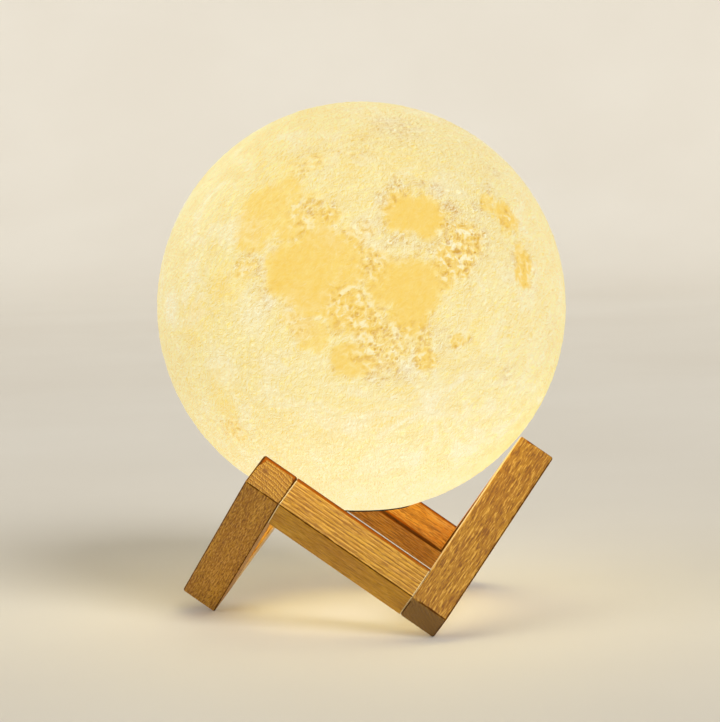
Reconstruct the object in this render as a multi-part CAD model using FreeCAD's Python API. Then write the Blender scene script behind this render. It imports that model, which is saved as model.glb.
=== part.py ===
import FreeCAD, Part
import math
import os
from FreeCAD import Matrix, Placement, Vector

# A moon lamp: a printed globe with a light module in its mouth, on a ring of six square beech bars.
# Millimetres, +Z up. The origin is on the table, on the upright axis through the globe's centre, and -Y is the
# side of the front cross bar.

# Driving dimensions.
GLOBE_RADIUS = 75.0  # a 15 cm globe
GLOBE_WALL = 1.6
BAR_PITCH = 71.0  # between the centres of neighbouring corners of the ring
BAR_SIDE = 14.3
BAR_ROUND = 1.0  # along the bars' edges
MOUTH_RADIUS = 17.1  # the opening in the globe's underside
SEAT_GAP = 0.3  # between the globe and the three corners that carry it
TURN_GAP = 0.3  # between the module and the globe that turns round it

# The ring follows six edges of a cube that stands on one corner, so each bar is as steep as a cube's edge.
BAR_RISE = math.sqrt(1 / 3)
BAR_REACH = math.sqrt(2 / 3)
HALF_BAR = BAR_SIDE / 2
END_CHAMFER = 0.25  # on the butted ends of the cross bars
DOWEL_RADIUS = 3.0
DOWEL_LENGTH = 20.0
DOWEL_CHAMFER = 0.6
DOWEL_BORE_RADIUS = 3.05
DOWEL_BORE_DEPTH = 10.4
LEG_TURNS = {"left": 0, "right": 120, "back": 240}
CROSS_TURNS = {"front": 0, "right": 120, "left": 240}


def ring_direction(azimuth):
    angle = math.radians(azimuth)
    return Vector(BAR_REACH * math.cos(angle), BAR_REACH * math.sin(angle), BAR_RISE)


# The lowest point of the rounded foot corner in the cube's own axes, and the globe's centre along its diagonal.
FOOT_HEIGHT = (BAR_PITCH - 3 * (HALF_BAR - BAR_ROUND)) * BAR_RISE - BAR_ROUND
SEAT_FAR = BAR_PITCH + HALF_BAR - BAR_ROUND
SEAT_NEAR = HALF_BAR - BAR_ROUND
SEAT_SUM = 2 * SEAT_FAR + SEAT_NEAR
SEAT_REACH = GLOBE_RADIUS + BAR_ROUND + SEAT_GAP
SEAT_ROOT = SEAT_SUM**2 - 3 * (2 * SEAT_FAR**2 + SEAT_NEAR**2 - SEAT_REACH**2)
CENTRE_Z = (SEAT_SUM + math.sqrt(SEAT_ROOT)) * BAR_RISE - FOOT_HEIGHT
POLE_Z = CENTRE_Z - GLOBE_RADIUS


def height_at(radius, sphere_radius=GLOBE_RADIUS):
    """The height above the globe's south pole of a sphere about its centre, at a distance from the axis."""
    return GLOBE_RADIUS - math.sqrt(sphere_radius**2 - radius**2)


# The light module. Every height is above the globe's south pole.
CAP_RADIUS = 16.0
CAP_FLAT_RADIUS = 10.0
CAP_TOP = 6.1
CAP_PLATE_TOP = 3.0
CAP_BORE_RADIUS = 12.6
DISH_RADIUS = 6.5
DISH_DEPTH = 0.8
BUTTON_RADIUS = 3.9
BUTTON_HOLE_RADIUS = BUTTON_RADIUS + TURN_GAP
BUTTON_FACE = 0.95
BUTTON_EDGE = 0.5  # how far its domed face falls to the rim
BUTTON_COLLAR = 0.8
BUTTON_COLLAR_REACH = 1.3
STEM_RADIUS = 1.5
PORT_Y = -9.2
PORT_WIDTH = 7.5
PORT_DEPTH = 2.7
PORT_WALL = 0.3
PORT_MOUTH = 1.6
PORT_BEVEL = 0.9
PORT_SLOT_MARGIN = 0.35
TONGUE_WIDTH = 3.9
TONGUE_THICKNESS = 0.7
TONGUE_BLOCK = 1.6
LIGHT_PIPE_Y = 8.4
LIGHT_PIPE_RADIUS = 1.0
GASKET_RADIUS = MOUTH_RADIUS - TURN_GAP
GASKET_PROUD = 0.36
GASKET_TOP = 4.0
GASKET_EDGE = 0.25
GROOVE_DEPTH = 0.6
GROOVE_LOW = 2.4
GROOVE_HIGH = 3.6
HOUSING_RADIUS = 14.2
HOUSING_BORE = 12.8
HOUSING_TOP = 47.5
HOUSING_ROOF = 46.0
BEAD_REACH = 0.8
BEAD_HEIGHT = 1.4
LIP_RADIUS = HOUSING_RADIUS + 0.4
COLLAR_RADIUS = 19.0
COLLAR_FLANGE_RADIUS = 23.0
COLLAR_FLANGE = 1.4
LIP_LOW = CAP_TOP + TURN_GAP
LIP_HIGH = 9.0
HOOK_WIDTH = 5.0
HOOK_ANGLES = (30, 150, 270)
HOOK_OUTSIDE = CAP_BORE_RADIUS - 0.1
HOOK_THICKNESS = 1.1
HOOK_BARB = 1.1
WINDOW_LOW = 12.0
WINDOW_HIGH = 14.2
WINDOW_MARGIN = 0.3
BOARD_RADIUS = 11.0
BOARD_LOW = 9.6
BOARD_HIGH = 10.8
BOSS_RADIUS = 1.9
BOSS_PLACES = ((-8.2, 3.0), (8.2, 3.0))
SCREW_RADIUS = 0.95
SCREW_HEAD_RADIUS = 1.8
SCREW_HEAD = 1.2
SCREW_LENGTH = 5.0
CROSS_REACH = 1.9
CROSS_SLOT = 0.45
SCREW_EDGE = 0.4
PILOT_DEPTH = 4.5
SWITCH_SIDE = 6.0
SWITCH_HEIGHT = 3.5
PLUNGER_RADIUS = 1.7
PLUNGER_LOW = 5.2
PLUNGER_HIGH = 8.4
CELL_WIDTH = 22.0
CELL_DEPTH = 6.0
CELL_LOW = 13.5
CELL_HIGH = 43.5
CELL_EDGE = 2.2
FOAM_WIDTH = 17.0
FOAM_THICKNESS = 2.6
LED_BOARD_RADIUS = 11.5
LED_BOARD_HIGH = HOUSING_TOP + 1.0
LED_RING_RADIUS = 6.0
LED_WINDOW_RADIUS = 1.1
LED_COUNT = 6
LED_SCREW_X = 8.5
WIRE_Y = -8.0
WIRE_SPACING = 2.0
WIRE_RADIUS = 0.5
LEAD_RADIUS = 0.6
PLUG_Y = 8.0
PLUG_HIGH = 14.8
DOME_RADIUS = 13.6
DOME_WALL = 1.2
DOME_SHOULDER = 53.0
DOME_TOP = 58.0


def revolved(edges):
    """A solid of revolution about the globe's axis, from edges in the XZ plane with z above the south pole."""
    face = Part.Face(Part.Wire(edges))
    solid = face.revolve(Vector(0, 0, 0), Vector(0, 0, 1), 360)
    solid.translate(Vector(0, 0, POLE_Z))
    return solid


def outline(points):
    """The straight edges between (radius, height) points, not closed."""
    corners = [Vector(radius, 0, height) for radius, height in points]
    return [Part.makeLine(a, b) for a, b in zip(corners, corners[1:])]


def loop(points):
    return outline(list(points) + [points[0]])


def sphere_arc(radius_from, radius_to, sphere_radius=GLOBE_RADIUS):
    """The arc of a sphere about the globe's centre between two distances from its axis, on the underside."""
    radii = (radius_from, (radius_from + radius_to) / 2, radius_to)
    points = [Vector(radius, 0, height_at(radius, sphere_radius)) for radius in radii]
    return Part.Arc(*points).toShape()


def tube(radius, low, high, x=0.0, y=0.0):
    """An upright cylinder between two heights above the south pole."""
    return Part.makeCylinder(radius, high - low, Vector(x, y, POLE_Z + low))


def block(width, depth, low, high, x=0.0, y=0.0):
    """An upright block, centred on x and y, between two heights above the south pole."""
    corner = Vector(x - width / 2, y - depth / 2, POLE_Z + low)
    return Part.makeBox(width, depth, high - low, corner)


def upright_edges(shape):
    return [edge for edge in shape.Edges if abs(edge.tangentAt(edge.FirstParameter).z) > 0.99]


def turned(shape, degrees):
    copy = shape.copy()
    copy.rotate(Vector(0, 0, 0), Vector(0, 0, 1), degrees)
    return copy


def cut_all(shape, tools):
    for tool in tools:
        shape = shape.cut(tool)
    return shape


# ---- The stand: three legs and three cross bars, dowelled into a ring.


def ring_placement():
    """Carries the cube's axes to the row's: x rises to the left foot's side, y to the front, z to the right back."""
    left, front, back = ring_direction(180), ring_direction(-60), ring_direction(60)
    matrix = Matrix(
        left.x, front.x, back.x, 0, left.y, front.y, back.y, 0, left.z, front.z, back.z, -FOOT_HEIGHT
    )
    return Placement(matrix)


def in_ring(shape, turn):
    """Moves a piece from the cube's axes to its place in the ring, turned about the upright axis."""
    shape.Placement = ring_placement().multiply(shape.Placement)
    shape.rotate(Vector(0, 0, 0), Vector(0, 0, 1), turn)
    return shape


def dowel_bore(start, direction):
    return Part.makeCylinder(DOWEL_BORE_RADIUS, DOWEL_BORE_DEPTH, start, direction)


def leg(turn):
    """A long bar from a foot up to a corner that carries the globe. It covers the ring at both its corners."""
    bar = Part.makeBox(
        BAR_SIDE, BAR_PITCH + BAR_SIDE, BAR_SIDE, Vector(BAR_PITCH - HALF_BAR, -HALF_BAR, -HALF_BAR)
    )
    bar = bar.makeFillet(BAR_ROUND, bar.Edges)
    top_bore = dowel_bore(Vector(BAR_PITCH - HALF_BAR, BAR_PITCH, 0), Vector(1, 0, 0))
    foot_bore = dowel_bore(Vector(BAR_PITCH, 0, HALF_BAR), Vector(0, 0, -1))
    return in_ring(cut_all(bar, (top_bore, foot_bore)), turn)


def cross_bar(turn):
    """A short bar between the sides of two legs."""
    length = BAR_PITCH - BAR_SIDE
    bar = Part.makeBox(length, BAR_SIDE, BAR_SIDE, Vector(HALF_BAR, BAR_PITCH - HALF_BAR, -HALF_BAR))
    long_edges = [edge for edge in bar.Edges if abs(edge.Length - length) < 0.001]
    bar = bar.makeFillet(BAR_ROUND, long_edges)
    ends = [face for face in bar.Faces if abs(abs(face.normalAt(0, 0).x) - 1) < 0.001]
    bar = bar.makeChamfer(END_CHAMFER, [edge for face in ends for edge in face.Edges])
    foot_bore = dowel_bore(Vector(HALF_BAR, BAR_PITCH, 0), Vector(1, 0, 0))
    top_bore = dowel_bore(Vector(BAR_PITCH - HALF_BAR, BAR_PITCH, 0), Vector(-1, 0, 0))
    return in_ring(cut_all(bar, (foot_bore, top_bore)), turn)


def stand_dowels():
    """A blind dowel at each end of each cross bar."""
    dowels = []
    for turn in CROSS_TURNS.values():
        for middle in (HALF_BAR, BAR_PITCH - HALF_BAR):
            start = Vector(middle - DOWEL_LENGTH / 2, BAR_PITCH, 0)
            dowel = Part.makeCylinder(DOWEL_RADIUS, DOWEL_LENGTH, start, Vector(1, 0, 0))
            rims = [edge for edge in dowel.Edges if edge.Closed]
            dowels.append(in_ring(dowel.makeChamfer(DOWEL_CHAMFER, rims), turn))
    return Part.makeCompound(dowels)


# ---- The globe: a thin printed shell and the collar bonded round its mouth.


def globe_shell():
    inner = GLOBE_RADIUS - GLOBE_WALL
    centre = Vector(0, 0, GLOBE_RADIUS)
    outside = Part.Arc(
        Vector(MOUTH_RADIUS, 0, height_at(MOUTH_RADIUS)),
        centre + Vector(GLOBE_RADIUS, 0, 0),
        centre + Vector(0, 0, GLOBE_RADIUS),
    )
    inside = Part.Arc(
        centre + Vector(0, 0, inner),
        centre + Vector(inner, 0, 0),
        Vector(MOUTH_RADIUS, 0, height_at(MOUTH_RADIUS, inner)),
    )
    top = Part.makeLine(centre + Vector(0, 0, GLOBE_RADIUS), centre + Vector(0, 0, inner))
    mouth = outline(
        [(MOUTH_RADIUS, height_at(MOUTH_RADIUS, inner)), (MOUTH_RADIUS, height_at(MOUTH_RADIUS))]
    )
    return revolved([outside.toShape(), top, inside.toShape()] + mouth)


def mouth_collar():
    """A flange on the shell's inside, a counterbore for the cap, and the lip that the module snaps over."""
    inner = GLOBE_RADIUS - GLOBE_WALL
    flange_low = height_at(COLLAR_FLANGE_RADIUS, inner)
    seat = sphere_arc(MOUTH_RADIUS, COLLAR_FLANGE_RADIUS, inner)
    wall = outline(
        [
            (COLLAR_FLANGE_RADIUS, flange_low),
            (COLLAR_FLANGE_RADIUS, flange_low + COLLAR_FLANGE),
            (COLLAR_RADIUS, flange_low + COLLAR_FLANGE),
            (COLLAR_RADIUS, LIP_HIGH),
            (LIP_RADIUS, LIP_HIGH),
            (LIP_RADIUS, LIP_LOW),
            (MOUTH_RADIUS, LIP_LOW),
            (MOUTH_RADIUS, height_at(MOUTH_RADIUS, inner)),
        ]
    )
    return revolved([seat] + wall)


# ---- The light module's case: cap, gasket, housing and diffuser.


def port_section(margin):
    """The charging port's outline, grown by a margin: flat on top, with its two lower corners cut off."""
    half, deep = PORT_WIDTH / 2 + margin, PORT_DEPTH / 2 + margin
    points = [
        (-half, PORT_Y + deep),
        (half, PORT_Y + deep),
        (half, PORT_Y),
        (half - PORT_BEVEL, PORT_Y - deep),
        (-half + PORT_BEVEL, PORT_Y - deep),
        (-half, PORT_Y),
    ]
    return Part.makePolygon([Vector(x, y, 0) for x, y in points + points[:1]])


def port_prism(margin, low, high):
    prism = Part.Face(port_section(margin)).extrude(Vector(0, 0, high - low))
    prism.translate(Vector(0, 0, POLE_Z + low))
    return prism


def snap_hook(angle):
    """A springy hook on the cap, whose barb catches in the housing's window."""
    inside = HOOK_OUTSIDE - HOOK_THICKNESS
    low, catch, tip = CAP_PLATE_TOP - 0.5, WINDOW_LOW + 0.1, WINDOW_HIGH - 0.2
    side = loop(
        [
            (inside, low),
            (HOOK_OUTSIDE, low),
            (HOOK_OUTSIDE, catch),
            (HOOK_OUTSIDE + HOOK_BARB, catch),
            (HOOK_OUTSIDE, tip),
            (inside, tip),
        ]
    )
    hook = Part.Face(Part.Wire(side)).extrude(Vector(0, HOOK_WIDTH, 0))
    hook.translate(Vector(0, -HOOK_WIDTH / 2, POLE_Z))
    return turned(hook, angle)


def base_cap():
    """Follows the globe's curve round a small flat, with a finger dish, a button hole and a port slot."""
    flat = height_at(CAP_FLAT_RADIUS)
    rim = height_at(CAP_RADIUS)
    under = sphere_arc(CAP_FLAT_RADIUS, CAP_RADIUS)
    rest = outline(
        [
            (CAP_RADIUS, rim),
            (CAP_RADIUS, GROOVE_LOW),
            (CAP_RADIUS - GROOVE_DEPTH, GROOVE_LOW),
            (CAP_RADIUS - GROOVE_DEPTH, GROOVE_HIGH),
            (CAP_RADIUS, GROOVE_HIGH),
            (CAP_RADIUS, CAP_TOP),
            (CAP_BORE_RADIUS, CAP_TOP),
            (CAP_BORE_RADIUS, CAP_PLATE_TOP),
            (BUTTON_HOLE_RADIUS, CAP_PLATE_TOP),
            (BUTTON_HOLE_RADIUS, flat + DISH_DEPTH),
            (DISH_RADIUS - DISH_DEPTH, flat + DISH_DEPTH),
            (DISH_RADIUS, flat),
            (CAP_FLAT_RADIUS, flat),
        ]
    )
    cap = revolved([under] + rest)
    for angle in HOOK_ANGLES:
        cap = cap.fuse(snap_hook(angle))
    for x, y in BOSS_PLACES:
        cap = cap.fuse(tube(BOSS_RADIUS, CAP_PLATE_TOP - 0.5, BOARD_LOW, x, y))
    pilots = [tube(SCREW_RADIUS, BOARD_LOW - PILOT_DEPTH, BOARD_LOW + 1, x, y) for x, y in BOSS_PLACES]
    slot = port_prism(PORT_SLOT_MARGIN, 0, CAP_PLATE_TOP + 1)
    pipe_hole = tube(LIGHT_PIPE_RADIUS, 0, CAP_PLATE_TOP + 1, 0, LIGHT_PIPE_Y)
    return cut_all(cap, pilots + [slot, pipe_hole]).removeSplitter()


def cap_gasket():
    """A soft ring round the cap, a little proud of the globe, with a rib in the cap's groove."""
    low = height_at((CAP_RADIUS + GASKET_RADIUS) / 2) - GASKET_PROUD
    section = loop(
        [
            (CAP_RADIUS, low),
            (GASKET_RADIUS - GASKET_EDGE, low),
            (GASKET_RADIUS, low + GASKET_EDGE),
            (GASKET_RADIUS, GASKET_TOP),
            (CAP_RADIUS, GASKET_TOP),
            (CAP_RADIUS, GROOVE_HIGH),
            (CAP_RADIUS - GROOVE_DEPTH, GROOVE_HIGH),
            (CAP_RADIUS - GROOVE_DEPTH, GROOVE_LOW),
            (CAP_RADIUS, GROOVE_LOW),
        ]
    )
    return revolved(section)


def module_housing():
    """A tube with a roof. Its bead snaps over the collar's lip, and its windows take the cap's hooks."""
    bead_low = LIP_HIGH + TURN_GAP
    section = loop(
        [
            (HOUSING_RADIUS, CAP_TOP),
            (HOUSING_RADIUS, bead_low),
            (HOUSING_RADIUS + BEAD_REACH, bead_low),
            (HOUSING_RADIUS + BEAD_REACH, bead_low + 0.4),
            (HOUSING_RADIUS, bead_low + BEAD_HEIGHT),
            (HOUSING_RADIUS, HOUSING_TOP),
            (0, HOUSING_TOP),
            (0, HOUSING_ROOF),
            (HOUSING_BORE, HOUSING_ROOF),
            (HOUSING_BORE, CAP_TOP),
        ]
    )
    housing = revolved(section)
    for x in (-LED_SCREW_X, LED_SCREW_X):
        housing = housing.fuse(tube(BOSS_RADIUS, CELL_HIGH + 0.3, HOUSING_ROOF + 0.5, x))
    window = block(
        HOUSING_RADIUS - HOUSING_BORE + 3, HOOK_WIDTH + 2 * WINDOW_MARGIN, WINDOW_LOW, WINDOW_HIGH, HOUSING_RADIUS
    )
    pilots = [tube(SCREW_RADIUS, CELL_HIGH, HOUSING_TOP + 1, x) for x in (-LED_SCREW_X, LED_SCREW_X)]
    wire_hole = block(3 * WIRE_SPACING, 2.0, HOUSING_ROOF - 1, HOUSING_TOP + 1, 0, WIRE_Y)
    wire_hole = wire_hole.makeFillet(0.9, upright_edges(wire_hole))
    windows = [turned(window, angle) for angle in HOOK_ANGLES]
    return cut_all(housing, windows + pilots + [wire_hole])


def diffuser_dome():
    """A frosted cup over the light sources, with a rounded shoulder and a shallow crown."""
    inner = DOME_RADIUS - DOME_WALL

    def crown(radius, top):
        """Half the section of a shallow spherical cap, from its top out to the shoulder."""
        rise = top - DOME_SHOULDER
        cap_radius = (radius**2 + rise**2) / (2 * rise)
        half_angle = math.asin(radius / cap_radius) / 2
        middle_height = top - cap_radius * (1 - math.cos(half_angle))
        middle = Vector(cap_radius * math.sin(half_angle), 0, middle_height)
        return Part.Arc(Vector(0, 0, top), middle, Vector(radius, 0, DOME_SHOULDER)).toShape()

    walls = loop(
        [
            (0, DOME_TOP),
            (DOME_RADIUS, DOME_SHOULDER),
            (DOME_RADIUS, HOUSING_TOP),
            (inner, HOUSING_TOP),
            (inner, DOME_SHOULDER),
            (0, DOME_TOP - DOME_WALL),
        ]
    )
    walls[0] = crown(DOME_RADIUS, DOME_TOP)
    walls[4] = crown(inner, DOME_TOP - DOME_WALL)
    return revolved(walls)


# ---- The charging port, the board and what is on it.


def usb_port_shell():
    outside = port_prism(0, PORT_MOUTH, BOARD_LOW)
    return outside.cut(port_prism(-PORT_WALL, PORT_MOUTH - 1, BOARD_LOW + 1))


def usb_port_tongue():
    """The contact tongue and the block that holds it at the port's inner end."""
    tongue = block(TONGUE_WIDTH, TONGUE_THICKNESS, PORT_MOUTH + 0.8, BOARD_LOW - 1, 0, PORT_Y + 0.3)
    return tongue.fuse(port_prism(-PORT_WALL, BOARD_LOW - TONGUE_BLOCK, BOARD_LOW)).removeSplitter()


def control_board():
    board = tube(BOARD_RADIUS, BOARD_LOW, BOARD_HIGH)
    holes = [tube(SCREW_RADIUS + 0.1, 0, HOUSING_TOP, x, y) for x, y in BOSS_PLACES]
    return cut_all(board, holes)


def chamfered_block(width, depth, low, high, x, y, chamfer=0.15):
    body = block(width, depth, low, high, x, y)
    top = [edge for edge in body.Edges if edge.BoundBox.ZMin > POLE_Z + high - 0.001]
    return body.makeChamfer(chamfer, top)


def board_chips():
    """The charger, the dimmer, a coil and four small parts on the board's upper side."""
    top = BOARD_HIGH
    chips = [
        chamfered_block(4.9, 3.9, top, top + 1.5, -2.6, 1.2),
        chamfered_block(2.9, 2.8, top, top + 1.1, 3.4, 3.2),
        chamfered_block(4.0, 4.0, top, top + 1.9, 3.6, -2.4, 0.4),
    ]
    for x in (-7.6, -6.0, -4.4):
        chips.append(chamfered_block(0.9, 1.6, top, top + 0.8, x, -3.6))
    chips.append(chamfered_block(1.6, 0.9, top, top + 0.8, 0.2, -4.6))
    return Part.makeCompound(chips)


def pan_head_screw(x, y, seat):
    """A small cross-head screw, head up, with its head's underside at the seat height."""
    head = tube(SCREW_HEAD_RADIUS, seat, seat + SCREW_HEAD, x, y)
    rim = [edge for edge in head.Edges if edge.BoundBox.ZMin > POLE_Z + seat + SCREW_HEAD - 0.001]
    head = head.makeChamfer(SCREW_EDGE, rim)
    shank = tube(SCREW_RADIUS - 0.05, seat - SCREW_LENGTH + SCREW_HEAD, seat + 0.2, x, y)
    cross = [
        block(CROSS_REACH, CROSS_SLOT, seat + SCREW_HEAD / 2, seat + SCREW_HEAD + 1, x, y),
        block(CROSS_SLOT, CROSS_REACH, seat + SCREW_HEAD / 2, seat + SCREW_HEAD + 1, x, y),
    ]
    return cut_all(head.fuse(shank), cross)


def board_screws():
    return Part.makeCompound([pan_head_screw(x, y, BOARD_HIGH) for x, y in BOSS_PLACES])


def tact_switch():
    """The switch body under the board, open below for its plunger."""
    low = BOARD_LOW - SWITCH_HEIGHT
    body = block(SWITCH_SIDE, SWITCH_SIDE, low, BOARD_LOW)
    body = body.makeFillet(0.5, upright_edges(body))
    return body.cut(tube(PLUNGER_RADIUS + TURN_GAP, low - 1, BOARD_LOW - 0.5))


def status_light():
    """A clear rod from the lamp on the board's underside down through the cap."""
    rod = tube(LIGHT_PIPE_RADIUS, height_at(LIGHT_PIPE_Y), BOARD_LOW - 1.2, 0, LIGHT_PIPE_Y)
    foot = tube(LIGHT_PIPE_RADIUS + 0.6, CAP_PLATE_TOP, CAP_PLATE_TOP + 1.0, 0, LIGHT_PIPE_Y)
    lamp = chamfered_block(1.6, 0.8, BOARD_LOW - 1.1, BOARD_LOW, 0, LIGHT_PIPE_Y)
    return Part.makeCompound([rod.fuse(foot).removeSplitter(), lamp])


# ---- The battery and its leads.


def battery_cell():
    """A pouch cell on end, its long edges rounded over."""
    cell = block(CELL_WIDTH, CELL_DEPTH, CELL_LOW, CELL_HIGH)
    return cell.makeFillet(CELL_EDGE, upright_edges(cell))


def battery_foam():
    """A strip of foam on each face of the cell."""
    pads = []
    for side in (-1, 1):
        middle = side * (CELL_DEPTH + FOAM_THICKNESS) / 2
        pads.append(block(FOAM_WIDTH, FOAM_THICKNESS, CELL_LOW + 3, CELL_HIGH - 3, 0, middle))
    return Part.makeCompound(pads)


def battery_plug():
    plug = block(6.2, 4.2, BOARD_HIGH, PLUG_HIGH, 0, PLUG_Y)
    return plug.makeFillet(0.4, upright_edges(plug))


def rounded_path(points, radius):
    """Straight runs joined by tangent arcs of one radius."""
    edges = []
    start = points[0]
    for before, corner, after in zip(points, points[1:], points[2:]):
        back = (before - corner).normalize()
        on = (after - corner).normalize()
        half = back.getAngle(on) / 2
        reach = radius / math.tan(half)
        enter, leave = corner + back * reach, corner + on * reach
        middle = corner + (back + on).normalize() * (radius / math.sin(half) - radius)
        edges.append(Part.makeLine(start, enter))
        edges.append(Part.Arc(enter, middle, leave).toShape())
        start = leave
    edges.append(Part.makeLine(start, points[-1]))
    return Part.Wire(edges)


def battery_lead(side):
    """Out of the cell's top end, over its edge and down to the plug."""
    over = (CELL_HIGH + HOUSING_ROOF) / 2 + 0.4
    places = [
        (side * 4.0, 0, CELL_HIGH),
        (side * 4.0, 0, over),
        (side * 1.4, PLUG_Y, over),
        (side * 1.4, PLUG_Y, PLUG_HIGH),
    ]
    path = rounded_path([Vector(x, y, POLE_Z + z) for x, y, z in places], 1.0)
    ring = Part.Wire(Part.makeCircle(LEAD_RADIUS, path.Edges[0].valueAt(0), Vector(0, 0, 1)))
    return path.makePipeShell([ring], True, False)


# ---- The light sources.


def led_board():
    board = tube(LED_BOARD_RADIUS, HOUSING_TOP, LED_BOARD_HIGH)
    holes = [tube(SCREW_RADIUS + 0.1, 0, DOME_TOP, x) for x in (-LED_SCREW_X, LED_SCREW_X)]
    return cut_all(board, holes)


def led_chips():
    """Light sources in a ring, each a small block with a round window."""
    chips = []
    for index in range(LED_COUNT):
        chip = chamfered_block(3.5, 2.8, LED_BOARD_HIGH, LED_BOARD_HIGH + 0.9, LED_RING_RADIUS, 0)
        window = tube(LED_WINDOW_RADIUS, LED_BOARD_HIGH + 0.7, LED_BOARD_HIGH + 2, LED_RING_RADIUS)
        chips.append(turned(chip.cut(window), 360 * (index + 0.5) / LED_COUNT))
    return Part.makeCompound(chips)


def led_board_screws():
    return Part.makeCompound([pan_head_screw(x, 0, LED_BOARD_HIGH) for x in (-LED_SCREW_X, LED_SCREW_X)])


def led_wires():
    """Three wires from the board up through the housing's roof."""
    places = (-WIRE_SPACING, 0, WIRE_SPACING)
    return Part.makeCompound([tube(WIRE_RADIUS, BOARD_HIGH, HOUSING_TOP, x, WIRE_Y) for x in places])


# ---- The button, which presses upward into the cap.


def power_button():
    """A domed head in the cap's dish, a collar that keeps it in, and a stem under the switch's plunger."""
    collar_low = CAP_PLATE_TOP + TURN_GAP
    collar_high = collar_low + BUTTON_COLLAR
    collar_radius = BUTTON_RADIUS + BUTTON_COLLAR_REACH
    crown = Part.Arc(
        Vector(0, 0, BUTTON_FACE),
        Vector(BUTTON_RADIUS / 2, 0, BUTTON_FACE + BUTTON_EDGE / 4),
        Vector(BUTTON_RADIUS, 0, BUTTON_FACE + BUTTON_EDGE),
    ).toShape()
    rest = outline(
        [
            (BUTTON_RADIUS, BUTTON_FACE + BUTTON_EDGE),
            (BUTTON_RADIUS, collar_low),
            (collar_radius, collar_low),
            (collar_radius, collar_high),
            (STEM_RADIUS, collar_high),
            (STEM_RADIUS, PLUNGER_LOW),
            (0, PLUNGER_LOW),
            (0, BUTTON_FACE),
        ]
    )
    return revolved([crown] + rest)


def switch_plunger():
    plunger = tube(PLUNGER_RADIUS, PLUNGER_LOW, PLUNGER_HIGH)
    lower_rim = [edge for edge in plunger.Edges if edge.BoundBox.ZMax < POLE_Z + PLUNGER_LOW + 0.001]
    return plunger.makeChamfer(0.2, lower_rim)


def all_pieces():
    pieces = {}
    for side, turn in LEG_TURNS.items():
        pieces[side + "_leg_bar"] = leg(turn)
    for side, turn in CROSS_TURNS.items():
        pieces[side + "_cross_bar"] = cross_bar(turn)
    makers = (
        stand_dowels,
        globe_shell,
        mouth_collar,
        base_cap,
        cap_gasket,
        module_housing,
        diffuser_dome,
        usb_port_shell,
        usb_port_tongue,
        control_board,
        board_chips,
        board_screws,
        tact_switch,
        status_light,
        battery_cell,
        battery_foam,
        battery_plug,
        led_board,
        led_chips,
        led_board_screws,
        led_wires,
        power_button,
        switch_plunger,
    )
    for maker in makers:
        pieces[maker.__name__] = maker()
    pieces["battery_lead_red"] = battery_lead(1)
    pieces["battery_lead_black"] = battery_lead(-1)
    return pieces


def main():
    os.makedirs("parts", exist_ok=True)
    print("globe centre", round(CENTRE_Z, 3), "south pole", round(POLE_Z, 3))
    for name, shape in all_pieces().items():
        shape.exportStep(f"parts/{name}.step")
        print(name, "solids", len(shape.Solids), "valid", shape.isValid(), "volume", round(shape.Volume, 1))


main()
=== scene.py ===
"""A moon lamp: a printed globe lit from inside, on a ring of six beech bars, with its light module."""

import math

import bpy
from mathutils import Euler, Matrix, Vector


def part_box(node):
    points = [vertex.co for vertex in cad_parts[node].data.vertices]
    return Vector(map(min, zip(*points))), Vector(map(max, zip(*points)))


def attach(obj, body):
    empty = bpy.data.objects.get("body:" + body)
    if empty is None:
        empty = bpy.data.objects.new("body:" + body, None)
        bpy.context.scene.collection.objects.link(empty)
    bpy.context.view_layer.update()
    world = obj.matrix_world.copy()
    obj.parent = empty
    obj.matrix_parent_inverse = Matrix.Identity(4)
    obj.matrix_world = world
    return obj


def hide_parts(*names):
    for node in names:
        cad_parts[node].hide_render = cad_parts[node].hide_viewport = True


bl_info = {
    "name": "Moon lamp",
    "version": (1, 0, 0),
    "blender": (4, 5, 0),
    "location": "3D View > Sidebar > Moon lamp",
    "description": "Makes a printed moon globe, its beech ring and its light module",
    "category": "Object",
}

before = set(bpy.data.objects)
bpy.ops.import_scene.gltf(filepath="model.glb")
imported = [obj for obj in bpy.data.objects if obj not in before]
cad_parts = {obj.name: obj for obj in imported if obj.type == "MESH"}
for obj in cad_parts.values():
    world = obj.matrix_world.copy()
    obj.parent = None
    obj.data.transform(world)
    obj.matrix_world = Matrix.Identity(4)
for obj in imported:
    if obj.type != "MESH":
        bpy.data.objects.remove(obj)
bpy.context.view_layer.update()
MM = 0.001

# The globe, from the frame: its centre is one radius below its top, on the upright axis.
GLOBE_LOW, GLOBE_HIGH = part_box("globe_shell")
GLOBE_RADIUS = (GLOBE_HIGH.x - GLOBE_LOW.x) / 2
GLOBE_CENTRE = Vector((0, 0, GLOBE_HIGH.z - GLOBE_RADIUS))
MOUTH_RADIUS = 17.1 * MM
GLOBE_WALL = 1.6 * MM
# The relief stays off the rim of the mouth: it starts at the first of these angles from the bottom, in
# radians, and is full at the second.
RIM_ANGLE, RELIEF_ANGLE = 0.235, 0.33
INNER_ROWS = 12
WELD = 0.01 * MM

# Each bar runs along an edge of a cube that stands on one corner: its rise and its reach per length.
CUBE_RISE = math.sqrt(1 / 3)
CUBE_REACH = math.sqrt(2 / 3)
# Each bar's pattern starts this far, in mm, from the last one's, so that no two are alike.
PATTERN_STEP = Vector((37.0, 11.0, 23.0))
# The middle of a noise's colour, which is taken off where the noise shifts a place either way.
MIDDLE = (0.5, 0.5, 0.5)


# ---- Helpers


def linear(text):
    """An sRGB hex colour as linear RGBA."""
    channels = [int(text[i : i + 2], 16) / 255 for i in (0, 2, 4)]
    return tuple(c / 12.92 if c <= 0.04045 else ((c + 0.055) / 1.055) ** 2.4 for c in channels) + (1.0,)


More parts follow.
